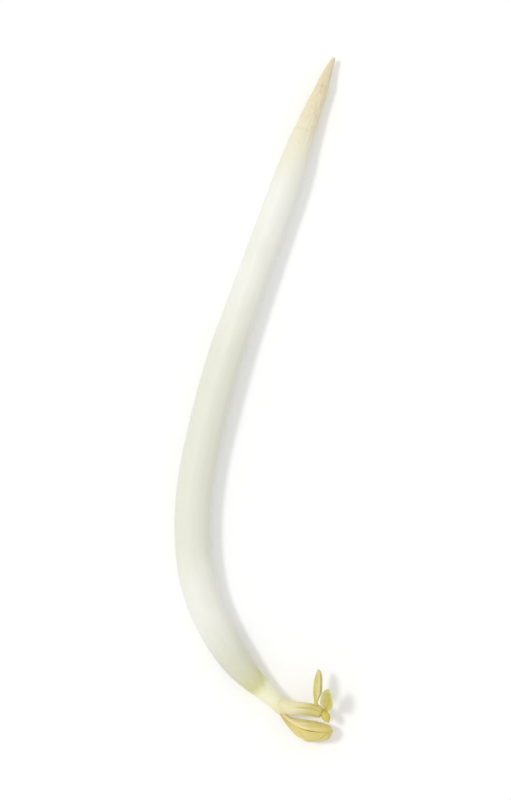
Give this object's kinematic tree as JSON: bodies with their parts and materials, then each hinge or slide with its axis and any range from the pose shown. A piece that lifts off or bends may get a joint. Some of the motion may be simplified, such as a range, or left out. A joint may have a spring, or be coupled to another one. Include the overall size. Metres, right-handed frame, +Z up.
{
  "type": "mung bean sprout",
  "caption": "Curved white bean sprout lying on its side, tapering to a root at one end and a bent neck with shrunken bean halves and folded leaves at the other.",
  "frame": {"origin": "on the surface the sprout lies on, under the middle of its outline", "axes": "+Z up, +Y along the sprout towards the root, +X to the side that the shoot and the root bend to"},
  "size_m": [0.0142, 0.06, 0.004],
  "materials": {
    "stem_flesh": "satin",
    "root_skin": "satin",
    "bean_flesh": "satin",
    "shoot_flesh": "satin",
    "young_leaf": "satin",
    "bud": "satin"
  },
  "bodies": {
    "root": {"hypocotyl": "stem_flesh", "root": "root_skin", "cotyledon_outer": "bean_flesh", "cotyledon_inner": "bean_flesh", "epicotyl": "shoot_flesh", "leaf_left": "young_leaf", "leaf_right": "young_leaf", "terminal_bud": "bud"}
  },
  "joints": []
}
